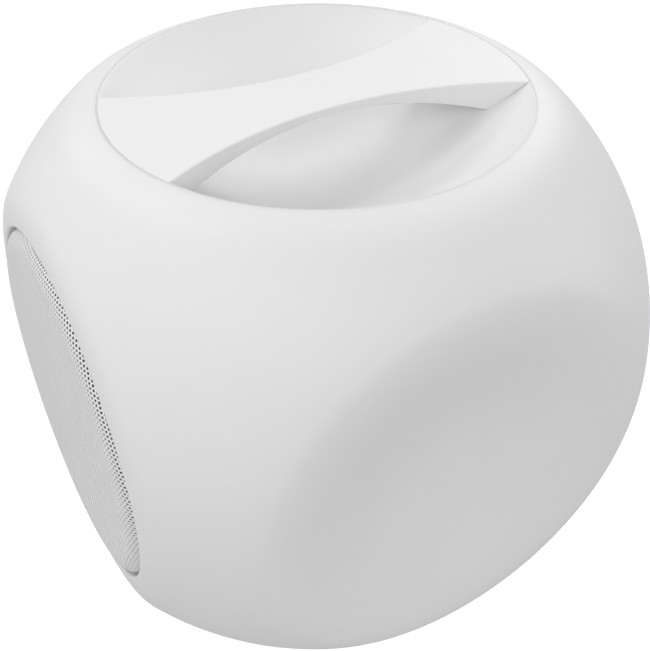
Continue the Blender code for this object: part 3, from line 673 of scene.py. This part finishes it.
def make_shell():
    """The hollow body: three closed faces dished in, and the top, front and back openings."""
    patches = []
    for axis, sign in ((0, 1), (0, -1), (2, -1)):
        patches.append(dished_face(axis, sign, 0))
        patches.append(dished_face(axis, sign, WALL))
    patches.append(opened_face(2, 1, TOP_OPENING_R, SEAM_EDGE, [
        (TOP_OPENING_R, 86.5), (65.5, 84.1), (63.5, 82.0), (63.5, 76.5), (70.0, 76.5),
    ], 70.0, 14))
    patches.append(opened_face(1, -1, FRONT_RECESS_R, 0.7, [
        (FRONT_RECESS_R, FRONT_SEAT), (FRONT_OPENING_R, FRONT_SEAT), (FRONT_OPENING_R, 83.6), (63.5, 83.6),
    ], 63.5, 16))
    patches.append(opened_face(1, 1, BACK_RECESS_R, 0.5, [
        (BACK_RECESS_R, BACK_SEAT), (BACK_OPENING_R, BACK_SEAT), (BACK_OPENING_R, 73.5), (43.8, 73.5),
    ], 43.8, 24))
    points = []
    faces = []
    for grid, closed in patches:
        rows, columns = grid.shape[:2]
        first = len(points)
        points += grid.reshape(-1, 3).tolist()
        for row in range(rows - 1):
            for column in range(columns if closed else columns - 1):
                other = (column + 1) % columns
                a, b = first + row * columns + column, first + row * columns + other
                faces.append([a, b, b + columns, a + columns])
    shell = make("shell", points, faces, TOP, [BODY], 50)
    pockets = [
        turned("pocket", [
            (0, -BEYOND), (FOOT_R + FOOT_GAP, -BEYOND), (FOOT_R + FOOT_GAP, FOOT_POCKET), (0, FOOT_POCKET),
        ], TOP, [BODY], spot, 48)
        for spot in around(FOOT_RING_R, 4, 45)
    ]
    combine(shell, pockets, smooth=50)
    return stand_in(shell, "cabinet", "body_white", "body_shell")


def make_feet():
    """Rubber feet with a rounded edge and a shallow dish underneath."""
    for number, spot in enumerate(around(FOOT_RING_R, 4, 45), 1):
        profile = rounded([
            (0, FOOT_TOP, 0), (FOOT_R, FOOT_TOP, 0.3), (FOOT_R, FOOT_BASE, 0.9),
            (3.4, FOOT_BASE, 0.2), (3.0, FOOT_BASE + 0.4, 0.2), (0, FOOT_BASE + 0.4, 0),
        ])
        foot = turned(f"rubber_foot_{number}", profile, TOP, [RUBBER], spot, 64)
        stand_in(foot, "cabinet", "soft_rubber", f"foot_{number}")


# ---------------------------------------------------------------- bowl and handle

def bowl_z(radius, offset=0.0):
    """Height of the bowl's surface, or of one set off outwards, at a radius."""
    return BOWL_CENTRE_Z - math.sqrt((BOWL_R + offset) ** 2 - radius**2)


def make_cup():
    """The bowl: a turned dish with a soft inner edge, a fine lip and screw bosses below."""
    count = 26
    hollow = []
    for step in range(count + 1):
        radius = (RIM_R - 0.9) * (1 - step / count)
        hollow.append((radius, bowl_z(radius)))
    edge = rounded([
        (LIP_R, RIM_Z - 3.0, 0), (LIP_R, RIM_Z, SEAM_EDGE), (RIM_R - 0.1, RIM_Z - 0.02, 1.6),
        (*hollow[1], 0),
    ])
    underside = []
    for step in range(14):
        radius = LIP_R * step / 13
        underside.append((radius, bowl_z(radius, CUP_WALL)))
    cup = turned("bowl", edge[1:] + hollow[2:] + underside, TOP, [BOWL], steps=240)
    bosses = []
    for spot in HANDLE_SCREWS:
        boss = turned("boss", [
            (0, BOSS_BASE), (BOSS_R, BOSS_BASE), (BOSS_R, RIM_Z - 2), (0, RIM_Z - 2),
        ], TOP, [BOWL], spot, 48)
        above = [(r, bowl_z(r, -0.05)) for r in np.linspace(0, RIM_R, 40)]
        space = turned("bowl_space", above + [(RIM_R, BEYOND), (0, BEYOND)], TOP, [BOWL])
        bosses.append(combine(boss, [space]))
    return stand_in(cup, "cabinet", "body_white", "handle_cup"), bosses


def half_width(y):
    """Half the handle's width at a distance along it."""
    return HANDLE_WAIST + HANDLE_FLARE_R - math.sqrt(HANDLE_FLARE_R**2 - y * y)


def handle_point(across, along, top):
    """A point of the handle's upper or lower face, from shares of its width and length."""
    y = along * HANDLE_TIP_R
    for _ in range(HANDLE_ROUNDS):
        z = HANDLE_TOP if top else RIM_Z - HANDLE_MIDDLE - HANDLE_ARCH * y * y
        reach = BOWL_R + HANDLE_BITE
        bowl = math.sqrt(reach**2 - (BOWL_CENTRE_Z - z) ** 2)
        limit = min(bowl, HANDLE_TIP_R)
        x = across * (half_width(y) - HANDLE_DRAFT * (HANDLE_TOP - z))
        y = along * math.sqrt(limit**2 - x * x)
    return x, y, z


def make_handle():
    """The bow-tie bar across the bowl, with softened edges."""
    columns, rows = 16, 96
    points = []
    for top in (True, False):
        for row in range(rows + 1):
            for column in range(columns + 1):
                points.append(handle_point(2 * column / columns - 1, 2 * row / rows - 1, top))
    wide = columns + 1
    deep = wide * (rows + 1)
    faces = []
    for level in (0, deep):
        for row in range(rows):
            for column in range(columns):
                a = level + row * wide + column
                faces.append([a, a + 1, a + wide + 1, a + wide])
    for row in range(rows):
        for column in (0, columns):
            a = row * wide + column
            faces.append([a, a + wide, a + wide + deep, a + deep])
    for column in range(columns):
        for row in (0, rows):
            a = row * wide + column
            faces.append([a, a + 1, a + 1 + deep, a + deep])
    handle = make("handle", points, faces, TOP, [HANDLE], 30)
    soften(handle, HANDLE_EDGE, 35)
    return stand_in(handle, "cabinet", "handle_white", "carry_handle")


# ---------------------------------------------------------------- grille

def pan_line(back, count):
    """The pan's section from its middle to its skirt, set back from its outer surface."""
    wide, tall = SHOULDER
    face_r = GRILLE_R - wide
    dome = GRILLE_APEX - GRILLE_FACE
    face = [(r, GRILLE_APEX - dome * (r / face_r) ** 2 - back) for r in np.linspace(0, face_r, count)]
    return face + arc((face_r, GRILLE_FACE - tall), (wide - back, tall - back), 90, 0, count)[1:]


def pan_section():
    """The pan's outer surface as (length along it, radius, height) arrays."""
    section = np.array(pan_line(0, PAN_STEPS) + [(GRILLE_R, SKIRT_BASE)])
    lengths = np.r_[0, np.cumsum(np.linalg.norm(np.diff(section, axis=0), axis=1))]
    return lengths, section[:, 0], section[:, 1]


def pan_point(x, y, section):
    """A point of the flat sheet, moved to where pressing takes it on the pan."""
    lengths, radii, heights = section
    flat = math.hypot(x, y)
    radius = np.interp(flat, lengths, radii)
    grow = radius / flat if flat > 0 else 0
    return x * grow, y * grow, np.interp(flat, lengths, heights)


def punched_sheet(shape):
    """A flat sheet of staggered six-sided holes, plain at its upper and lower ends, and the
    loose edges round its rim."""
    rows = int(HOLED_R / (HOLE_PITCH * 0.866)) + 2
    holes = {}
    for i in range(-rows, rows + 1):
        for j in range(-2 * rows, 2 * rows + 1):
            x = (j + i / 2) * HOLE_PITCH
            y = i * HOLE_PITCH * math.sqrt(3) / 2
            if math.hypot(x, y) < HOLED_R:
                corners = around(HOLE_R, 6)
                holes[i, j] = [shape.verts.new((x + b, y + a, 0)) for a, b in corners]
                if abs(y) > HOLED_TALL:
                    shape.faces.new(holes[i, j])
    # Side n of a hole runs from corner n to corner n + 1 and faces its neighbour n.
    steps = [(1, 0), (0, 1), (-1, 1), (-1, 0), (0, -1), (1, -1)]
    ties = []
    rim = []
    for (i, j), own in holes.items():
        for n, (di, dj) in enumerate(steps):
            near = holes.get((i + di, j + dj))
            if near is None:
                side = (own[n], own[(n + 1) % 6])
                rim.append(shape.edges.get(side) or shape.edges.new(side))
            elif n < 3:
                shape.faces.new([own[n], near[(n + 4) % 6], near[n + 3], own[n + 1]])
                ties += [(own[n], near[(n + 4) % 6]), (near[n + 3], own[n + 1])]
            far = holes.get((i + steps[(n + 1) % 6][0], j + steps[(n + 1) % 6][1]))
            if near and far and n < 2:
                shape.faces.new([own[n + 1], near[n + 3], far[n + 5 if n == 0 else 0]])
    for pair in ties:
        edge = shape.edges.get(pair)
        if len(edge.link_faces) == 1:
            rim.append(edge)
    return rim


def make_grille():
    """The pressed pan, with every hole cut through its sheet."""
    section = pan_section()
    lengths = section[0]
    shape = bmesh.new()
    rim = punched_sheet(shape)
    border = lengths[-2]
    ring = [shape.verts.new((x, y, 0)) for x, y in around(border, PAN_SIDES)]
    for step in range(PAN_SIDES):
        rim.append(shape.edges.new((ring[step], ring[(step + 1) % PAN_SIDES])))
    bmesh.ops.triangle_fill(shape, use_beauty=True, use_dissolve=False, edges=rim, normal=(0, 0, 1))
    for share in (0.5, 1.0):
        reach = border + (lengths[-1] - border) * share
        outer = [shape.verts.new((x, y, 0)) for x, y in around(reach, PAN_SIDES)]
        for step in range(PAN_SIDES):
            other = (step + 1) % PAN_SIDES
            shape.faces.new([ring[step], outer[step], outer[other], ring[other]])
        ring = outer
    for vertex in shape.verts:
        vertex.co = FRONT @ Vector(pan_point(vertex.co.x, vertex.co.y, section))
    bmesh.ops.recalc_face_normals(shape, faces=shape.faces[:])
    mesh = bpy.data.meshes.new("punched_grille")
    shape.to_mesh(mesh)
    shape.free()
    mesh.materials.append(STEEL_WHITE)
    grille = placed("punched_grille", mesh)
    sheet = grille.modifiers.new("sheet", "SOLIDIFY")
    sheet.thickness = SHEET * MM
    sheet.offset = -1
    freeze(grille, 40)
    return stand_in(grille, "cabinet", "grille_white", "grille")


def make_scrim():
    """The black cloth behind the holes, which follows the pan round its shoulder."""
    face = SHEET + CLOTH_GAP
    outline = pan_line(face, CLOTH_STEPS) + pan_line(face + CLOTH_THICK, CLOTH_STEPS)[::-1]
    scrim = turned("scrim_cloth", outline, FRONT, [CLOTH])
    return stand_in(scrim, "cabinet", "black_cloth", "acoustic_scrim")


# ---------------------------------------------------------------- back

def drill(name, radius, spot, steps):
    """A round cutter that goes right through the panel."""
    outline = [(0, CUT_HIGH), (radius, CUT_HIGH), (radius, CUT_LOW), (0, CUT_LOW)]
    return turned(name, outline, BACK, [PANEL], spot, steps)


def make_panel():
    """The control panel, with a soft edge and its openings."""
    profile = rounded([
        (0, PANEL_FACE, 0), (PANEL_R, PANEL_FACE, 0.7), (PANEL_R, PANEL_BACK, 0.2), (0, PANEL_BACK, 0),
    ])
    panel = turned("panel", profile, BACK, [PANEL], steps=160)
    cutters = []
    for name, spot in BUTTONS.items():
        lip = rounded([
            (0, CUT_HIGH, 0), (BUTTON_R + BUTTON_FLARE, CUT_HIGH, 0),
            (BUTTON_R + BUTTON_GAP, PANEL_FACE - 0.2, 0.3), (BUTTON_R + BUTTON_GAP, CUT_LOW, 0),
            (0, CUT_LOW, 0),
        ])
        cutters.append(turned(f"{name}_hole", lip, BACK, [PANEL], spot, 64))
    cutters.append(drill("pipe_hole", 1.4, PIPE_SPOT, 32))
    cutters.append(drill("aux_hole", 3.4, (AUX_X, PORT_Y), 48))
    usb = box_outline(9.8, 4.0, (USB_X, PORT_Y), 1.3)
    cutters.append(prism("usb_hole", usb, CUT_LOW, CUT_HIGH, BACK, [PANEL]))
    pocket = box_outline(FLAP_WIDE + 0.6, FLAP_TALL + 0.6, (0, PORT_Y), 1.6)
    cutters.append(prism("flap_pocket", pocket, PANEL_FACE - 2.0, CUT_HIGH, BACK, [PANEL]))
    finger = box_outline(12.0, 5.0, (0, PORT_Y + FLAP_TALL / 2 + 1.0), 2.2)
    cutters.append(prism("finger_notch", finger, PANEL_FACE - 0.9, CUT_HIGH, BACK, [PANEL]))
    for number, spot in enumerate(around(PANEL_SCREW_R, 4, 50)):
        well = [
            (0, CUT_HIGH), (3.0, CUT_HIGH), (3.0, PANEL_FACE - SCREW_SINK), (1.8, PANEL_FACE - SCREW_SINK),
            (1.8, CUT_LOW), (0, CUT_LOW),
        ]
        cutters.append(turned(f"well_{number}", well, BACK, [PANEL], spot, 40))
    combine(panel, cutters, smooth=30)
    return stand_in(panel, "cabinet", "panel_grey", "control_panel")


def mark(name, outline):
    """A flat shape of an icon, just proud of the button's cap."""
    return prism(name, outline, BUTTON_TOP - ICON_SUNK, BUTTON_TOP + ICON_PROUD, BACK, [ICON])


def bar(name, wide, tall, spot=(0, 0), lean=0.0):
    """A straight stroke of an icon."""
    outline = [Vector(point) for point in box_outline(wide, tall, (0, 0), min(wide, tall) * 0.45)]
    turn = Matrix.Rotation(lean, 2)
    points = [turn @ point + Vector(spot) for point in outline]
    return mark(name, [(point.x, point.y) for point in points])


def stroke(name, spot, radius, thick, start, stop):
    """A curved stroke of an icon."""
    outer = arc(spot, radius + thick / 2, start, stop, 24)
    return mark(name, outer + arc(spot, radius - thick / 2, stop, start, 24))


def icon_of(name, spot):
    """The raised mark on a button: the usual signs for its job."""
    x, y = spot
    if name == "power_button":
        return [stroke("ring", spot, 1.7, 0.45, 125, 415), bar("stem", 0.45, 1.9, (x, y + 1.1))]
    if name == "light_button":
        rays = []
        for number in range(8):
            turn = math.radians(45 * number)
            place = (x + 2.05 * math.cos(turn), y + 2.05 * math.sin(turn))
            rays.append(bar(f"ray_{number}", 0.8, 0.36, place, turn))
        disc = mark("disc", around(1.05, 32))
        shift = (BACK @ Vector((x, y, 0))) - (BACK @ Vector((0, 0, 0)))
        disc.data.transform(Matrix.Translation(shift))
        return [disc, *rays]
    if name == "volume_down_button":
        return [bar("dash", 3.0, 0.5, spot)]
    if name == "volume_up_button":
        return [bar("dash", 3.0, 0.5, spot), bar("upright", 0.5, 3.0, spot)]
    arrow = rounded([(x - 2.0, y - 1.4, 0.15), (x + 0.3, y, 0.15), (x - 2.0, y + 1.4, 0.15)])
    return [
        mark("arrow", arrow),
        bar("pause_1", 0.5, 2.6, (x + 1.0, y)),
        bar("pause_2", 0.5, 2.6, (x + 2.0, y)),
    ]


def make_buttons():
    """Five soft press caps with rounded tops, each with its icon."""
    for name, spot in BUTTONS.items():
        collar = PANEL_BACK - 0.3
        profile = rounded([
            (0, BUTTON_TOP, 0), (BUTTON_R, BUTTON_TOP, 0.8), (BUTTON_R, collar, 0),
            (BUTTON_R + BUTTON_COLLAR, collar, 0.2), (BUTTON_R + BUTTON_COLLAR, collar - 0.9, 0.2),
            (1.5, collar - 0.9, 0), (1.5, BOARD_LEVEL + 5, 0), (0, BOARD_LEVEL + 5, 0),
        ])
        cap = turned(f"{name}_cap", profile, BACK, [SOFT_WHITE], spot, 64)
        marks = icon_of(name, spot)
        piece = join(f"{name}_pad", [cap, *marks])
        bodies = frame["record"]["behaviour"]["bodies"]
        body = next(body for body, kept in bodies.items() if name in kept)
        stand_in(piece, body, "white_rubber", name)


def make_flap():
    """The socket cover: a soft plate with a rolled hinge edge, a pull tab and two plugs."""
    low_y = PORT_Y - FLAP_TALL / 2
    high_y = PORT_Y + FLAP_TALL / 2
    half = FLAP_WIDE / 2
    corners = [
        (-half, low_y + ROLL_R, 0), (half, low_y + ROLL_R, 0), (half, high_y, 1.6), (-half, high_y, 1.6),
    ]
    cover = prism("cover", rounded(corners), FLAP_BASE, FLAP_TOP, BACK, [SOFT_WHITE], 0.35)
    roll_place = BACK @ Matrix.Translation((-half, low_y + ROLL_R, (FLAP_TOP + FLAP_BASE) / 2))
    roll_place = roll_place @ Euler((0, math.pi / 2, 0)).to_matrix().to_4x4()
    edge = rounded([(0, FLAP_WIDE, 0), (ROLL_R, FLAP_WIDE, 0.3), (ROLL_R, 0, 0.3), (0, 0, 0)])
    roll = turned("roll", edge, roll_place, [SOFT_WHITE], steps=40)
    tab = prism("tab", box_outline(9.0, 1.7, (0, high_y - 1.2), 0.8), FLAP_TOP - 0.4, FLAP_TOP + 0.75,
                BACK, [SOFT_WHITE], 0.3)
    plug_low, plug_high = FLAP_BASE - 0.7, FLAP_BASE + 0.3
    usb_plug = prism("usb_plug", box_outline(7.6, 1.9, (USB_X, PORT_Y), 0.9), plug_low, plug_high,
                     BACK, [SOFT_WHITE], 0.2)
    aux_plug = turned("aux_plug", rounded([
        (0, plug_high, 0), (1.5, plug_high, 0), (1.5, plug_low, 0.3), (0, plug_low, 0),
    ]), BACK, [SOFT_WHITE], (AUX_X, PORT_Y), 32)
    combine(cover, [roll, tab, usb_plug, aux_plug], "UNION", 30)
    cover.name = "socket_cover"
    return stand_in(cover, "flap", "white_rubber", "port_flap")


def make_screws():
    """Pan-head screws with a cross recess, each turned its own way."""
    head = PANEL_FACE - SCREW_SINK + 0.3
    for number, spot in enumerate(around(PANEL_SCREW_R, 4, 50), 1):
        profile = rounded([
            (0, head + 1.4, 0), (2.6, head + 1.4, 0.7), (2.6, head, 0.1), (1.5, head, 0),
            (1.5, BACK_SEAT - 2.5, 0.4), (0, BACK_SEAT - 2.5, 0),
        ])
        screw = turned(f"cross_screw_{number}", profile, BACK, [METAL], spot, 48)
        own_turn = Matrix.Rotation(math.radians(SCREW_TURN * number), 4, "Z")
        place = BACK @ Matrix.Translation((*spot, 0)) @ own_turn
        slots = [
            prism("slot_a", box_outline(2.9, 0.7, (0, 0), 0.2), head + 0.6, head + 2, place, [METAL]),
            prism("slot_b", box_outline(0.7, 2.9, (0, 0), 0.2), head + 0.6, head + 2, place, [METAL]),
        ]
        combine(screw, slots, smooth=35)
        stand_in(screw, "cabinet", "steel", f"panel_screw_{number}")


def make_pipe():
    """The status light's clear window."""
    profile = rounded([
        (0, PANEL_FACE + 0.1, 0), (1.1, PANEL_FACE + 0.1, 0.3), (1.1, BOARD_LEVEL + 2, 0),
        (0, BOARD_LEVEL + 2, 0),
    ])
    pipe = turned("status_window", profile, BACK, [FROSTED], PIPE_SPOT, 40)
    return stand_in(pipe, "cabinet", "clear_plastic", "status_light_pipe")


# ---------------------------------------------------------------- assembly

make_shell()
make_feet()
cup, bosses = make_cup()
combine(cup, bosses, "UNION", smooth=40)
make_handle()
make_grille()
make_scrim()
make_panel()
make_buttons()
make_flap()
make_screws()
make_pipe()

# ---------------------------------------------------------------- camera, light, floor

CAMERA_TURN = 60.73
CAMERA_TILT = 39.25
CAMERA_FAR = 0.3673
CAMERA_LENS = 55.57
CAMERA_SHIFT = (0.0127, -0.0153)
WORLD_LIGHT = 0.557
SOFTBOX_SIZE = 0.45
FLOOR_REACH = 12.0
FLOOR_GLOW = 0.5
DOME_RADIUS = 9.0


def way_out(round_from_front, height):
    """The direction from the body at two angles in degrees."""
    turn = math.radians(round_from_front)
    tilt = math.radians(height)
    return Vector((math.sin(turn) * math.cos(tilt), -math.cos(turn) * math.cos(tilt), math.sin(tilt)))


back = way_out(CAMERA_TURN, CAMERA_TILT)
lens = bpy.data.cameras.new("camera")
lens.sensor_width = 36
lens.lens = CAMERA_LENS
lens.shift_x, lens.shift_y = CAMERA_SHIFT
lens.clip_start = 0.01
camera = placed("camera", lens)
camera.location = CENTRE + back * CAMERA_FAR
camera.rotation_euler = back.to_track_quat("Z", "Y").to_euler()
bpy.context.scene.camera = camera

world = bpy.data.worlds.new("studio")
world.use_nodes = True
world.node_tree.nodes["Background"].inputs["Color"].default_value = (1, 1, 1, 1)
world.node_tree.nodes["Background"].inputs["Strength"].default_value = WORLD_LIGHT
bpy.context.scene.world = world


def softbox(name, round_from_front, height, power):
    """A round area light a metre from the body, placed by its angles and aimed at the body."""
    way = way_out(round_from_front, height)
    light = bpy.data.lights.new(name, "AREA")
    light.shape = "DISK"
    light.size = SOFTBOX_SIZE
    light.energy = power
    holder = placed(name, light)
    holder.location = CENTRE + way
    holder.rotation_euler = way.to_track_quat("Z", "Y").to_euler()


softbox("top_front", 330, 60, 1.71)
softbox("right_front", 60, 35, 1.08)
softbox("front", 30, 35, 1.38)
softbox("left", 300, 35, 0.95)
softbox("left_back", 210, 35, 2.30)
softbox("right_back", 150, 12, 1.16)

ground = bpy.data.meshes.new("floor")
corners = [(FLOOR_REACH * x, FLOOR_REACH * y, 0) for x, y in ((-1, -1), (1, -1), (1, 1), (-1, 1))]
ground.from_pydata(corners, [], [(0, 1, 2, 3)])
floor_material, tree, shader = nodes_of("floor_paper")
paper = tint(tree, noise(tree, 3.0), (0.88, 0.88, 0.88), (0.92, 0.92, 0.92))
tree.links.new(paper, shader.inputs["Base Color"])
shader.inputs["Roughness"].default_value = 0.9
shader.inputs["Emission Color"].default_value = (1, 1, 1, 1)
shader.inputs["Emission Strength"].default_value = FLOOR_GLOW
ground.materials.append(floor_material)
floor = placed("floor", ground)
floor.visible_diffuse = False
floor.visible_glossy = False

# A far white dome hides the horizon and lets all of the studio's light through.
shape = bmesh.new()
bmesh.ops.create_uvsphere(shape, u_segments=64, v_segments=32, radius=DOME_RADIUS)
dome_mesh = bpy.data.meshes.new("backdrop")
shape.to_mesh(dome_mesh)
shape.free()
dome_mesh.shade_smooth()
dome_mesh.materials.append(floor_material)
dome = placed("backdrop", dome_mesh)
dome.visible_diffuse = False
dome.visible_glossy = False
dome.visible_shadow = False

bpy.context.scene.view_settings.view_transform = "Standard"
